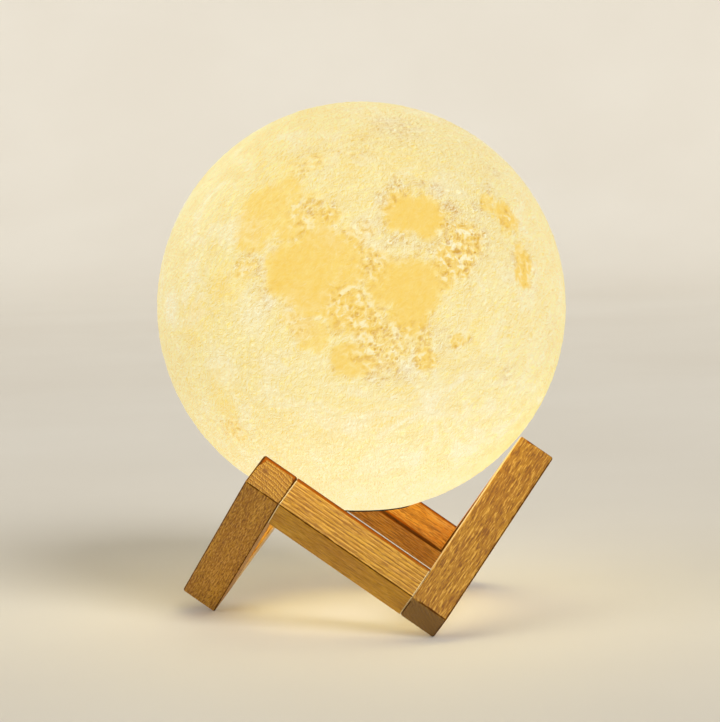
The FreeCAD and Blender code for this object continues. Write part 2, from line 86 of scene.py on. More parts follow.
# Short names for the kinds of node that the trees use most, each with the settings that go with it. A ramp
# takes a value, its low and high ends, and what it gives at each, which is 0 and 1 if left out. Between them
# it is smooth.
KINDS = {
    "mix": ("ShaderNodeMix", {"data_type": "RGBA"}),
    "noise": ("ShaderNodeTexNoise", {}),
    "ramp": ("ShaderNodeMapRange", {"interpolation_type": "SMOOTHSTEP"}),
    "xyz": ("ShaderNodeSeparateXYZ", {}),
}
NUMBER_STEPS = "absolute add arcsine cosine divide fract maximum minimum multiply multiply_add sine subtract"
VECTOR_STEPS = "add distance dot_product length multiply multiply_add normalize scale subtract"
for step in NUMBER_STEPS.split():
    KINDS[step] = ("ShaderNodeMath", {"operation": step.upper()})
for step in VECTOR_STEPS.split():
    KINDS["vector_" + step] = ("ShaderNodeVectorMath", {"operation": step.upper()})


def link(tree, value, socket):
    """Links an input to a socket, or to a node's first output in use."""
    if isinstance(value, bpy.types.Node):
        value = next(output for output in value.outputs if output.enabled)
    tree.links.new(value, socket)


def add(tree, kind, inputs=(), **settings):
    """Adds a node. kind is its type or its short name, and settings are its own properties. inputs are
    values, sockets or nodes, by an input's name or number, or listed in the order of the inputs in use."""
    kind, always = KINDS.get(kind, (kind, {}))
    node = tree.nodes.new(kind)
    for name, value in (always | settings).items():
        setattr(node, name, value)
    if isinstance(inputs, dict):
        given = [(node.inputs[key], value) for key, value in inputs.items()]
    else:
        given = zip([socket for socket in node.inputs if socket.enabled], inputs)
    for socket, value in given:
        if isinstance(value, (bpy.types.Node, bpy.types.NodeSocket)):
            link(tree, value, socket)
        else:
            socket.default_value = value
    return node


def new_material(name):
    """An empty material with its shader: (material, its tree, its Principled shader)."""
    material = bpy.data.materials.new(name)
    material.use_nodes = True
    tree = material.node_tree
    tree.nodes.clear()
    shader = add(tree, "ShaderNodeBsdfPrincipled")
    add(tree, "ShaderNodeOutputMaterial", {"Surface": shader.outputs[0]})
    return material, tree, shader


def paint(names, material):
    """Gives CAD nodes this material in every slot."""
    for name in names:
        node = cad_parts[name]
        node.data.materials.clear()
        node.data.materials.append(material)


# ---- The moon's features, shared by the relief and the colour.
# Each place is in globe radii to the right of and above the middle of the near face, with 1 for the near
# side or -1 for the far side, its own radius, and its strength. The far side is laid out freely. The scale
# of noise and cells is per globe radius of 75 mm, so a scale of 34 is a pattern 2.2 mm wide.

MASKS = ("sea", "shore", "rough", "ray")
FACE_AZIMUTH = math.radians(7.1)
FACE_RISE = math.radians(4.5)
FACE_TOWARD = Vector((math.sin(FACE_AZIMUTH), -math.cos(FACE_AZIMUTH), math.tan(FACE_RISE))).normalized()
FACE_RIGHT = Vector((math.cos(FACE_AZIMUTH), math.sin(FACE_AZIMUTH), 0))
FACE_AXES = (FACE_RIGHT, FACE_TOWARD.cross(FACE_RIGHT), FACE_TOWARD)

SEAS = (
    (-0.44, 0.45, 1, 0.15, 0.74),
    (-0.35, 0.52, 1, 0.11, 0.66),
    (-0.48, 0.35, 1, 0.11, 0.72),
    (-0.3, 0.38, 1, 0.1, 0.72),
    (-0.2, 0.35, 1, 0.1, 0.75),
    (-0.13, 0.41, 1, 0.06, 0.8),
    (-0.22, 0.49, 1, 0.06, 0.5),
    (-0.3, 0.16, 1, 0.16, 0.86),
    (-0.18, 0.23, 1, 0.15, 0.84),
    (-0.09, 0.17, 1, 0.13, 0.82),
    (-0.21, 0.06, 1, 0.12, 0.88),
    (-0.05, 0.28, 1, 0.08, 0.8),
    (0.02, 0.2, 1, 0.08, 0.7),
    (0.02, 0.34, 1, 0.05, 0.5),
    (-0.09, 0.0, 1, 0.12, 0.84),
    (0.0, -0.06, 1, 0.11, 0.78),
    (0.22, 0.425, 1, 0.12, 0.9),
    (0.295, 0.41, 1, 0.12, 0.92),
    (0.13, 0.1, 1, 0.12, 0.86),
    (0.24, 0.07, 1, 0.15, 0.9),
    (0.22, -0.05, 1, 0.11, 0.86),
    (0.36, 0.13, 1, 0.09, 0.8),
    (0.1, 0.2, 1, 0.06, 0.7),
    (0.1, -0.19, 1, 0.13, 0.55),
    (0.28, -0.17, 1, 0.06, 0.55),
    (0.285, -0.256, 1, 0.06, 0.8),
    (-0.28, -0.07, 1, 0.08, 0.7),
    (-0.22, -0.14, 1, 0.08, 0.7),
    (-0.07, -0.25, 1, 0.085, 0.84),
    (-0.01, -0.26, 1, 0.07, 0.78),
    (0.44, -0.17, 1, 0.04, 0.75),
    (0.54, -0.15, 1, 0.09, 0.25),
    (0.77, 0.19, 1, 0.07, 0.95),
    (0.76, 0.11, 1, 0.065, 0.95),
    (0.75, 0.24, 1, 0.05, 0.9),
    (0.69, 0.41, 1, 0.08, 0.95),
    (0.61, 0.47, 1, 0.06, 0.75),
    (0.69, 0.34, 1, 0.04, 0.5),
    (0.49, 0.29, 1, 0.1, 0.74),
    (0.43, 0.2, 1, 0.1, 0.78),
    (0.4, 0.33, 1, 0.05, 0.4),
    (-0.54, 0.17, 1, 0.05, 0.6),
    (-0.62, 0.12, 1, 0.11, 0.3),
    (-0.78, -0.05, 1, 0.12, 0.26),
    (-0.66, -0.34, 1, 0.1, 0.25),
    (-0.65, -0.47, 1, 0.08, 0.34),
    (-0.61, -0.58, 1, 0.07, 0.5),
    (-0.2, 0.68, 1, 0.06, 0.5),
    (-0.31, 0.63, 1, 0.1, 0.32),
    (0.0, 0.72, 1, 0.15, 0.2),
    (0.24, 0.64, 1, 0.12, 0.2),
    (0.35, 0.3, -1, 0.2, 0.7),
    (0.22, 0.2, -1, 0.13, 0.55),
    (-0.3, -0.1, -1, 0.2, 0.85),
    (-0.14, -0.22, -1, 0.13, 0.7),
    (-0.55, 0.24, -1, 0.14, 0.5),
    (0.2, -0.5, -1, 0.15, 0.6),
    (0.62, -0.2, -1, 0.12, 0.4),
    (-0.1, 0.62, -1, 0.13, 0.35),
    (-0.7, -0.4, -1, 0.1, 0.6),
)
ROUGH_PLACES = (
    (0.48, 0.28, 1, 0.13, 1.0),
    (0.42, 0.19, 1, 0.1, 1.0),
    (0.36, 0.27, 1, 0.06, 0.6),
    (0.12, 0.49, 1, 0.05, 1.0),
    (0.1, 0.38, 1, 0.05, 0.8),
    (0.18, 0.55, 1, 0.04, 1.0),
    (0.27, 0.58, 1, 0.04, 1.0),
    (0.37, 0.54, 1, 0.05, 1.0),
    (0.42, 0.44, 1, 0.05, 1.0),
    (0.16, 0.29, 1, 0.05, 0.9),
    (0.27, 0.26, 1, 0.04, 0.7),
    (0.02, 0.34, 1, 0.07, 0.6),
    (-0.24, 0.44, 1, 0.08, 0.7),
    (-0.13, 0.44, 1, 0.05, 0.8),
    (-0.04, 0.0, 1, 0.12, 0.75),
    (0.04, -0.1, 1, 0.1, 0.75),
    (0.1, -0.19, 1, 0.14, 0.8),
    (0.3, -0.16, 1, 0.08, 0.7),
    (0.2, -0.27, 1, 0.08, 0.8),
    (0.06, -0.33, 1, 0.06, 0.7),
    (0.3, -0.27, 1, 0.07, 0.6),
    (0.44, -0.17, 1, 0.05, 0.7),
    (-0.52, 0.2, 1, 0.08, 0.7),
    (-0.45, 0.08, 1, 0.06, 0.6),
    (-0.44, 0.0, 1, 0.04, 0.8),
    (-0.3, -0.1, 1, 0.06, 0.5),
    (0.05, 0.2, 1, 0.07, 0.7),
    (0.57, 0.44, 1, 0.05, 1.0),
    (0.61, 0.52, 1, 0.05, 0.8),
    (0.69, 0.38, 1, 0.06, 0.7),
    (0.65, 0.62, 1, 0.05, 0.7),
    (0.76, 0.17, 1, 0.12, 0.4),
    (-0.22, 0.68, 1, 0.1, 0.5),
    (0.02, 0.75, 1, 0.12, 0.4),
    (0.18, 0.84, 1, 0.12, 0.6),
    (-0.62, -0.57, 1, 0.09, 0.5),
    (0.68, -0.34, 1, 0.04, 0.8),
    (0.9, -0.15, 1, 0.12, 0.35),
    (0.12, 0.12, -1, 0.14, 0.9),
    (0.5, 0.1, -1, 0.12, 0.8),
    (-0.45, -0.4, -1, 0.16, 0.9),
    (-0.2, 0.3, -1, 0.12, 0.7),
    (0.3, -0.25, -1, 0.12, 0.8),
    (-0.75, 0.1, -1, 0.1, 0.7),
)
RAY_CRATERS = (
    (0.33, -0.45, 1, 0.055, 1.0),
    (-0.42, 0.2, 1, 0.03, 0.8),
    (-0.43, 0.03, 1, 0.02, 0.9),
    (-0.5, -0.05, 1, 0.05, 0.6),
    (-0.66, -0.28, 1, 0.06, 0.7),
    (-0.45, -0.25, 1, 0.03, 0.7),
    (-0.91, 0.02, 1, 0.05, 1.0),
    (-0.3, 0.4, -1, 0.05, 1.0),
)
# How far a direction leans to the upper left, where the painted highlight on the globe's limb begins and
# where it is strongest.
LIMB_HIGHLIGHT = (0.65, 0.97)
# A sea stronger than this has a shore.
DEEP = 0.8
# Craters in cells: cells across a globe radius, the largest crater's share of a cell, and a shift of the
# pattern. The cells are 6, 3.6 and 2 mm wide.
CRATERS = ((12.0, 0.3, 7.7), (21.0, 0.36, 2.3), (38.0, 0.4, 1.3))


def sphere_place(x, y, side):
    """A place on the unit sphere in the face's own axes: right, up and towards the viewer."""
    return x, y, side * math.sqrt(1 - x * x - y * y)


def patches(tree, face, places, inner, outer):
    """The strength of the places at a point: full within inner of a place's radius, and gone at outer."""
    level = 0.0
    for x, y, side, radius, strength in places:
        away = add(tree, "vector_distance", [face, sphere_place(x, y, side)])
        patch = add(tree, "ramp", [away, radius * outer, radius * inner, 0.0, strength])
        level = add(tree, "maximum", [patch, level])
    return level


def crater_field(tree, face, scale, size, seed):
    """One size of craters: (floor 0 to 1, rim 0 to 1) of round pits of uneven radius in a random pattern."""
    ragged = add(tree, "noise", {"Vector": face, "Scale": scale * 1.5, "Detail": 2.0})
    ragged = add(tree, "vector_subtract", [ragged.outputs["Color"], MIDDLE])
    uneven = add(tree, "vector_multiply_add", [ragged, (0.35 / scale,) * 3, face])
    shifted = add(tree, "vector_add", [uneven, (seed, -seed, seed * 0.5)])
    cells = add(tree, "ShaderNodeTexVoronoi", {"Vector": shifted, "Scale": scale, "Randomness": 0.95}).outputs
    chance = add(tree, "xyz", [cells["Color"]]).outputs["X"]
    radius = add(tree, "multiply", [add(tree, "multiply_add", [chance, 0.7, 0.3]), size])
    reach = add(tree, "divide", [cells["Distance"], radius])
    floor = add(tree, "ramp", [reach, 0.95, 0.45])
    off_rim = add(tree, "absolute", [add(tree, "subtract", [reach, 1.2])])
    return floor, add(tree, "ramp", [off_rim, 0.5, 0.0])


def face_place(tree, direction):
    """A direction from the globe's centre in the near face's own axes: right, up and towards the viewer."""
    parts = [add(tree, "vector_dot_product", [direction, tuple(axis)]) for axis in FACE_AXES]
    return add(tree, "ShaderNodeCombineXYZ", parts)


def moon_masks(tree, face):
    """Where the large features lie, from 0 to 1. The globe's tree keeps them on its mesh for the material."""
    ragged = add(tree, "noise", {"Vector": face, "Scale": 11.0, "Detail": 5.0, "Roughness": 0.7})
    ragged = add(tree, "vector_subtract", [ragged.outputs["Color"], MIDDLE])
    frayed = add(tree, "vector_multiply_add", [ragged, (0.13,) * 3, face])
    loose = add(tree, "vector_multiply_add", [ragged, (0.25,) * 3, face])

    sea = patches(tree, frayed, SEAS, 0.7, 1.25)
    inside = patches(tree, frayed, [place for place in SEAS if place[-1] > DEEP], 0.8, 1.15)
    shore = add(tree, "ramp", [add(tree, "absolute", [add(tree, "subtract", [inside, 0.35])]), 0.3, 0.0])
    rough = patches(tree, loose, ROUGH_PLACES, 0.5, 1.5)

    away = add(tree, "vector_subtract", [face, sphere_place(*RAY_CRATERS[0][:3])])
    spokes = {"Vector": add(tree, "vector_normalize", [away]), "Scale": 5.0, "Detail": 3.0, "Roughness": 0.7}
    spokes = add(tree, "ramp", [add(tree, "noise", spokes), 0.48, 0.64])
    faded = add(tree, "ramp", [add(tree, "vector_length", [away]), 0.85, 0.05])
    spokes = add(tree, "multiply", [spokes, faded])
    rays = add(tree, "maximum", [patches(tree, frayed, RAY_CRATERS, 0.7, 2.6), spokes])
    return {
        "sea": sea,
        "shore": shore,
        "rough": add(tree, "maximum", [rough, add(tree, "multiply", [shore, 0.7])]),
        "ray": add(tree, "multiply", [rays, add(tree, "ramp", [sea, 0.5, 0.1])]),
    }


def relief(tree, face, masks):
    """The height of the printed land, about -1 to 1: seas low and level, land wrinkled, rough places heaped
    with clots, and craters cut in. Gives (height, clots 0 to 1, crater floors)."""
    land = add(tree, "subtract", [1.0, masks["sea"]])
    swell = add(tree, "noise", {"Vector": face, "Scale": 6.0, "Detail": 3.0, "Roughness": 0.6})
    wrinkle = {"Vector": face, "Scale": 34.0, "Detail": 5.0, "Roughness": 0.75, "Distortion": 0.8}
    wrinkle = add(tree, "noise", wrinkle)
    clots = add(tree, "noise", {"Vector": face, "Scale": 31.0, "Detail": 1.8, "Distortion": 0.4})
    height = add(tree, "multiply", [add(tree, "subtract", [swell, 0.5]), 0.9])
    height = add(tree, "multiply_add", [add(tree, "subtract", [wrinkle, 0.5]), 3.0, height])
    height = add(tree, "multiply", [height, add(tree, "multiply_add", [land, 0.75, 0.25])])
    height = add(tree, "multiply_add", [masks["sea"], -0.6, height])
    heap = add(tree, "multiply", [masks["rough"], 1.7])
    height = add(tree, "add", [height, add(tree, "multiply", [add(tree, "subtract", [clots, 0.5]), heap])])
    busy = add(tree, "maximum", [masks["rough"], add(tree, "multiply_add", [land, 0.14, 0.02])])
    floors = pits = 0.0
    for scale, size, seed in CRATERS:
        floor, rim = crater_field(tree, face, scale, size, seed)
        pit = add(tree, "multiply_add", [floor, -1.0, add(tree, "multiply", [rim, 0.6])])
        pits = add(tree, "multiply_add", [pit, CRATERS[0][0] / scale, pits])
        floors = add(tree, "maximum", [floor, floors])
    height = add(tree, "multiply_add", [pits, add(tree, "multiply", [busy, 0.7]), height])
    return height, clots, add(tree, "multiply", [floors, busy])


# ---- Settings


class MoonLampGlobe(bpy.types.PropertyGroup):
    """Sizes and colours of the printed globe."""

    relief: bpy.props.FloatProperty(
        name="Relief", description="Height of the printed relief", default=0.8 * MM, unit="LENGTH"
    )
    around: bpy.props.IntProperty(name="Around", description="Facets round the globe", default=400)
    down: bpy.props.IntProperty(name="Down", description="Facets from the top to the mouth", default=222)
    land: bpy.props.FloatVectorProperty(
        name="Land", description="Lit colour of the highlands", default=linear("FFEE98")[:3], subtype="COLOR"
    )
    dim: bpy.props.FloatVectorProperty(
        name="Dim land",
        description="Lit colour of the land's hollows",
        default=linear("FBE07E")[:3],
        subtype="COLOR",
    )
    # Also the colour of the painted highlights: low down, at the upper left limb, on clot tops and on slopes.
    bright: bpy.props.FloatVectorProperty(
        name="Bright land",
        description="Lit colour of rims and rays",
        default=linear("FFFAD8")[:3],
        subtype="COLOR",
    )
    sea: bpy.props.FloatVectorProperty(
        name="Seas", description="Lit colour of the seas", default=linear("F4CC5E")[:3], subtype="COLOR"
    )
    # Also the colour of the painted shade on the land's slopes.
    shore: bpy.props.FloatVectorProperty(
        name="Shores",
        description="Lit colour of shores and hollows",
        default=linear("E6BE4A")[:3],
        subtype="COLOR",
    )
    # The colour of the painted shade in crater floors and clot hollows, and on slopes in rough places.
    pit: bpy.props.FloatVectorProperty(
        name="Pits", description="Lit colour of crater floors", default=linear("CC921A")[:3], subtype="COLOR"
    )
    glow: bpy.props.FloatProperty(
        name="Glow", description="How brightly the globe shows its lit colour", default=0.98
    )
    skin: bpy.props.FloatProperty(
        name="Skin", description="Share of its colour that the skin reflects", default=0.06, subtype="FACTOR"
    )
    cast: bpy.props.FloatProperty(
        name="Cast light", description="What the globe gives its surroundings", default=2.1
    )


class MoonLampStand(bpy.types.PropertyGroup):
    """Colours of the beech ring."""

    early: bpy.props.FloatVectorProperty(
        name="Early wood",
        description="The pale part of a growth ring",
        default=linear("BE8A22")[:3],
        subtype="COLOR",
    )
    warm: bpy.props.FloatVectorProperty(
        name="Warm wood",
        description="The warmer clouds in the wood",
        default=linear("AE781C")[:3],
        subtype="COLOR",
    )
    late: bpy.props.FloatVectorProperty(
        name="Late wood",
        description="The dark line of a growth ring",
        default=linear("82500E")[:3],
        subtype="COLOR",
    )
    # Also the colour of the painted shade on the flecks' dark side.
    fleck: bpy.props.FloatVectorProperty(
        name="Flecks", description="The short dark rays", default=linear("7A4A0E")[:3], subtype="COLOR"
    )
    # Also the colour of the painted highlight on the flecks' pale side.
    pale: bpy.props.FloatVectorProperty(
        name="Pale flecks", description="The short pale rays", default=linear("DAA74A")[:3], subtype="COLOR"
    )
    end_grain: bpy.props.FloatVectorProperty(
        name="End grain", description="The bars' sawn ends", default=linear("6A5028")[:3], subtype="COLOR"
    )
    burnt: bpy.props.FloatVectorProperty(
        name="Burnt arrises", description="Edges by the globe", default=linear("98480A")[:3], subtype="COLOR"
    )
    edge: bpy.props.FloatVectorProperty(
        name="Outer arrises", description="The other edges", default=linear("47230A")[:3], subtype="COLOR"
    )
    # Painted globe light: the cream put on the faces and butted ends that face the globe.
    inner: bpy.props.FloatVectorProperty(
        name="Inner faces",
        description="The pale sides by the globe",
        default=linear("F4E0AC")[:3],
        subtype="COLOR",
    )
    ring_width: bpy.props.FloatProperty(
        name="Ring width", description="Distance between growth rings", default=1.65 * MM, unit="LENGTH"
    )


class MoonLampModule(bpy.types.PropertyGroup):
    """Colours of the light module's outer pieces."""

    case: bpy.props.FloatVectorProperty(
        name="Case", description="The cap, housing and button", default=linear("E8E4DA")[:3], subtype="COLOR"
    )
    dome: bpy.props.FloatVectorProperty(
        name="Dome", description="The frosted diffuser", default=linear("F1EEE4")[:3], subtype="COLOR"
    )
    seal: bpy.props.FloatVectorProperty(
        name="Seal", description="The ring round the cap", default=linear("141414")[:3], subtype="COLOR"
    )


class MoonLampStage(bpy.types.PropertyGroup):
    """The camera and the lights."""

    place: bpy.props.FloatVectorProperty(
        name="Camera",
        description="Where the camera stands",
        default=(0.13342, -1.06703, 0.19491),
        subtype="TRANSLATION",
    )
    heading: bpy.props.FloatProperty(
        name="Heading", description="Turn from +Y", default=math.radians(7.179), subtype="ANGLE"
    )
    tilt: bpy.props.FloatProperty(
        name="Tilt", description="Below the level", default=math.radians(-5.424), subtype="ANGLE"
    )
    roll: bpy.props.FloatProperty(
        name="Roll", description="About the view", default=math.radians(-1.274), subtype="ANGLE"
    )
    lens: bpy.props.FloatProperty(
        name="Lens", description="On a 36 mm frame", default=146.78, min=1.0, unit="CAMERA"
    )
    room: bpy.props.FloatProperty(name="Room", description="Level of the room's even light", default=0.34)
    beyond: bpy.props.FloatProperty(
        name="Beyond", description="Level of what shows past the floor", default=0.62
    )
    key: bpy.props.FloatProperty(name="Key", description="Level of the main lamp", default=2.0)
    fill: bpy.props.FloatProperty(name="Fill", description="Level of the second lamp", default=0.95)


# ---- Materials


def upward_slope(tree, bumped, direction):
    """How far a bumped normal leans to the upper left of the near face, along the globe's surface."""
    normal = add(tree, "ShaderNodeNewGeometry").outputs["Normal"]
    lean = add(tree, "vector_subtract", [bumped, normal])
    turned = {"vector_type": "VECTOR", "convert_from": "WORLD", "convert_to": "OBJECT"}
    lean = add(tree, "ShaderNodeVectorTransform", [lean], **turned)
    upper_left = tuple((FACE_AXES[1] - FACE_AXES[0]).normalized())
    along = add(tree, "vector_dot_product", [lean, upper_left])
    sunk = add(tree, "vector_dot_product", [lean, direction])
    facing = add(tree, "vector_dot_product", [direction, upper_left])
    return add(tree, "subtract", [along, add(tree, "multiply", [sunk, facing])])


def lit_colour(tree, settings, face, masks, clots, floors, slope, down, limb):
    """What the lit print shows: mottled land, with painted light low down, a painted highlight at the upper
    left limb and paler clouds, amber seas with ragged shores, clots with painted shade in their hollows and a
    painted highlight on their tops, painted shade in ochre on the crater floors, pale rays, and painted
    highlight and shade on slopes, pale where they lean to the upper left and dark on the other side."""
    bright, sea, pit = (*settings.bright, 1), (*settings.sea, 1), (*settings.pit, 1)
    shore_tone = (*settings.shore, 1)
    mottle = add(tree, "noise", {"Vector": face, "Scale": 9.0, "Detail": 7.0, "Roughness": 0.72})
    even = add(tree, "ramp", [mottle, 0.4, 0.55])
    colour = add(tree, "mix", [even, (*settings.dim, 1), (*settings.land, 1)])
    # Painted light: the colour is paler low down, towards the LED inside.
    colour = add(tree, "mix", [add(tree, "ramp", [down, -0.6, -0.95, 0.0, 0.45]), colour, bright])
    # Painted highlight: the upper left limb is paler.
    colour = add(tree, "mix", [add(tree, "ramp", [limb, *LIMB_HIGHLIGHT, 0.0, 0.3]), colour, bright])
    cloud = {"Vector": face, "Scale": 4.5, "Detail": 6.0, "Roughness": 0.68, "Distortion": 0.5}
    cloud = add(tree, "ramp", [add(tree, "noise", cloud), 0.52, 0.62, 0.0, 0.55])
    colour = add(tree, "mix", [cloud, colour, bright])

    land = add(tree, "subtract", [1.0, masks["sea"]])
    shallow = add(tree, "multiply", [add(tree, "multiply", [masks["sea"], land]), 2.0])
    broken = add(tree, "maximum", [shallow, masks["rough"]])
    broken = add(tree, "multiply", [add(tree, "subtract", [0.5, clots]), broken])
    level = add(tree, "multiply_add", [broken, 2.6, masks["sea"]], use_clamp=True)
    colour = add(tree, "mix", [level, colour, sea])
    shore = add(tree, "multiply", [masks["shore"], add(tree, "ramp", [mottle, 0.58, 0.44, 0.0, 0.5])])
    colour = add(tree, "mix", [shore, colour, shore_tone])

    # Painted shade and highlight on the clots: darker in their hollows, paler on their tops.
    clot_hollow_shade = add(tree, "multiply", [add(tree, "ramp", [clots, 0.46, 0.34]), masks["rough"]])
    colour = add(tree, "mix", [add(tree, "multiply", [clot_hollow_shade, 0.5]), colour, pit])
    clot_top_highlight = add(tree, "multiply", [add(tree, "ramp", [clots, 0.52, 0.66]), masks["rough"]])
    colour = add(tree, "mix", [add(tree, "multiply", [clot_top_highlight, 0.7]), colour, bright])
    # Painted shade in the crater floors.
    colour = add(tree, "mix", [add(tree, "multiply", [floors, 0.75]), colour, pit])
    rays = add(tree, "multiply", [masks["ray"], add(tree, "ramp", [mottle, 0.36, 0.54, 0.4, 1.0])])
    colour = add(tree, "mix", [rays, colour, bright])

    # Painted highlight and shade on the relief: slopes that lean to the upper left are painted pale and the
    # others dark, as if lit from there.
    firm = add(tree, "multiply_add", [land, 0.8, 0.2])
    painted_highlight = add(tree, "multiply", [add(tree, "ramp", [slope, 0.04, 0.32, 0.0, 0.9]), firm])
    colour = add(tree, "mix", [painted_highlight, colour, bright])
    painted_shade = add(tree, "multiply", [add(tree, "ramp", [slope, -0.06, -0.36, 0.0, 0.85]), firm])
    return add(tree, "mix", [painted_shade, colour, add(tree, "mix", [masks["rough"], shore_tone, pit])])


def printed_pla(settings):
    """PLA printed in relief and lit from inside, which gives the eye a warm white with its own light, bright
    where the wall is thin and amber where it is thick, on a matt skin with fine grain. Its colour also
    carries painted light low down, a painted highlight at the upper left limb, and painted highlight and
    shade on the relief."""
    material, tree, shader = new_material("printed_pla_moon")
    place = add(tree, "ShaderNodeTexCoord").outputs["Object"]
    direction = add(tree, "vector_normalize", [add(tree, "vector_subtract", [place, tuple(GLOBE_CENTRE)])])
    face = face_place(tree, direction)
    masks = {name: add(tree, "ShaderNodeAttribute", attribute_name=name).outputs["Fac"] for name in MASKS}
    height, clots, floors = relief(tree, face, masks)
    bump = add(tree, "ShaderNodeBump", {"Strength": 1.0, "Distance": settings.relief * 0.6, "Height": height})
    link(tree, bump, shader.inputs["Normal"])

    # How the bumped relief leans, which drives the painted highlight and shade in its colour.
    slope = upward_slope(tree, bump, direction)
    down = add(tree, "xyz", [direction]).outputs["Z"]
    limb = (FACE_AXES[1] * 0.5 - FACE_RIGHT * 0.85).normalized()
    limb = add(tree, "vector_dot_product", [direction, tuple(limb)])
    colour = lit_colour(tree, settings, face, masks, clots, floors, slope, down, limb)
    skin = add(tree, "mix", [1.0, colour, (*[settings.skin] * 3, 1)], blend_type="MULTIPLY")
    link(tree, skin, shader.inputs["Base Color"])
    link(tree, colour, shader.inputs["Emission Color"])
    seen = add(tree, "ShaderNodeLightPath").outputs["Is Camera Ray"]
    strength = add(tree, "multiply_add", [seen, settings.glow - settings.cast, settings.cast])
    # The glow is raised low down, with the painted light in the colour there.
    strength = add(tree, "multiply", [strength, add(tree, "ramp", [down, -0.2, -1.0, 1.0, 1.2])])
    # The glow is raised at the upper left limb, with the painted highlight there.
    strength = add(tree, "multiply", [strength, add(tree, "ramp", [limb, *LIMB_HIGHLIGHT, 1.0, 1.06])])
    link(tree, strength, shader.inputs["Emission Strength"])
    shader.inputs["Roughness"].default_value = 0.6
    shader.inputs["Specular IOR Level"].default_value = 0.15
    shader.inputs["Sheen Weight"].default_value = 0.5
    shader.inputs["Sheen Roughness"].default_value = 0.3
    shader.inputs["Sheen Tint"].default_value = linear("FFF4DC")
    return material


def growth_rings(tree, local, shifted, normal, end_on, bar, ring_width):
    """The rings about the tree's middle as the bar's faces cut them: (dark lines, pale gleams beside them,
    both from 0 to 1, and the place bent as the grain wanders). They show most on the ends, and in broken
    runs along the sides."""
    slow = add(tree, "vector_multiply", [shifted, (0.022, 0.1, 0.1)])
    drift = {"Vector": slow, "Scale": 1.0, "Detail": 4.0, "Roughness": 0.6}
    drift = add(tree, "vector_subtract", [add(tree, "noise", drift).outputs["Color"], MIDDLE])
    bent = add(tree, "vector_multiply_add", [drift, (0, bar["wander"], bar["wander"]), local])
    across = add(tree, "vector_subtract", [bent, (0, *bar["pith"])])
    across = add(tree, "vector_length", [add(tree, "vector_multiply", [across, (0, 1, 1)])])
    ring = add(tree, "fract", [add(tree, "divide", [across, ring_width / MM])])
    line = add(tree, "ramp", [add(tree, "absolute", [add(tree, "subtract", [ring, 0.45])]), 0.24, 0.06])
    gleam = add(tree, "ramp", [add(tree, "absolute", [add(tree, "subtract", [ring, 0.82])]), 0.17, 0.02])

    runs = add(tree, "vector_multiply", [shifted, (0.09, 0.8, 0.8)])
    runs = add(tree, "noise", {"Vector": runs, "Scale": 1.0, "Detail": 3.0, "Roughness": 0.6})
    runs = add(tree, "ramp", [add(tree, "multiply_add", [end_on, 0.3, runs]), 0.3, 0.55, 0.25, 1.0])
    edge_on = add(tree, "absolute", [add(tree, "vector_dot_product", [normal, tuple(bar["third"])])])
    strength = add(tree, "ramp", [edge_on, 0.5, 0.9, *bar["lines"]])
    strength = add(tree, "ramp", [end_on, 0.6, 0.95, strength, 0.9])
    shown = add(tree, "multiply", [runs, strength])
    return add(tree, "multiply", [line, shown]), add(tree, "multiply", [gleam, shown]), bent


def ray_flecks(tree, shifted, bar):
    """The short flecks along the grain: (the flecks, from 0 to 1, and how much they rise towards one side,
    which gives each one a painted shade on one side and a painted highlight on the other)."""
    long, wide = bar["fleck"]
    spread = add(tree, "vector_multiply", [shifted, (1 / long, 1 / wide, 1 / wide)])
    beside = add(tree, "vector_add", [spread, (0.1, 0.35, 0.35)])
    shape = {"Scale": 1.0, "Detail": 1.5, "Distortion": 0.3}
    flecks, beside = (add(tree, "noise", {"Vector": vector} | shape) for vector in (spread, beside))
    return flecks, add(tree, "subtract", [flecks, beside])


def burnt_arrises(tree, place, local, bar):
    """Where the sander burnt the bar's arrises: (how burnt, how near the globe, both from 0 to 1, and the
    depths in mm below the nearest arris and below the end)."""
    parts = add(tree, "xyz", [local]).outputs
    depths = [add(tree, "absolute", [part]) for part in parts]
    depths = [add(tree, "subtract", [half, depth]) for half, depth in zip(bar["half"], depths)]
    arris = add(tree, "maximum", depths[1:])
    if not bar["butted"]:
        end_arris = add(tree, "maximum", [depths[0], add(tree, "minimum", depths[1:])])
        arris = add(tree, "minimum", [arris, end_arris])
    up = GLOBE_CENTRE - bar["middle"]
    to_globe = Vector((0, up.dot(bar["side"]), up.dot(bar["third"]))).normalized()
    near_globe = add(tree, "vector_dot_product", [local, tuple(to_globe)])
    near_globe = add(tree, "ramp", [add(tree, "divide", [near_globe, bar["half"][1]]), 0.2, 0.8])
    height = add(tree, "xyz", [place]).outputs["Z"]
    near_globe = add(tree, "multiply", [near_globe, add(tree, "ramp", [height, 10 * MM, 30 * MM])])
    wear = add(tree, "noise", {"Vector": local, "Scale": 0.5, "Detail": 2.0})
    reach = add(tree, "multiply_add", [wear, 0.5, add(tree, "multiply_add", [near_globe, 1.4, 0.35])])
    burnt = add(tree, "ramp", [add(tree, "divide", [arris, reach]), 1.0, 0.65, 0.0, 0.9])
    sharp = [add(tree, "multiply", [part, sign]) for part, sign in zip(parts[1:], bar["sharp"])]
    plain = add(tree, "ramp", [add(tree, "minimum", sharp), 3.0, 5.0, 1.0, 0.0])
    return add(tree, "multiply", [burnt, plain]), near_globe, arris, depths[0]


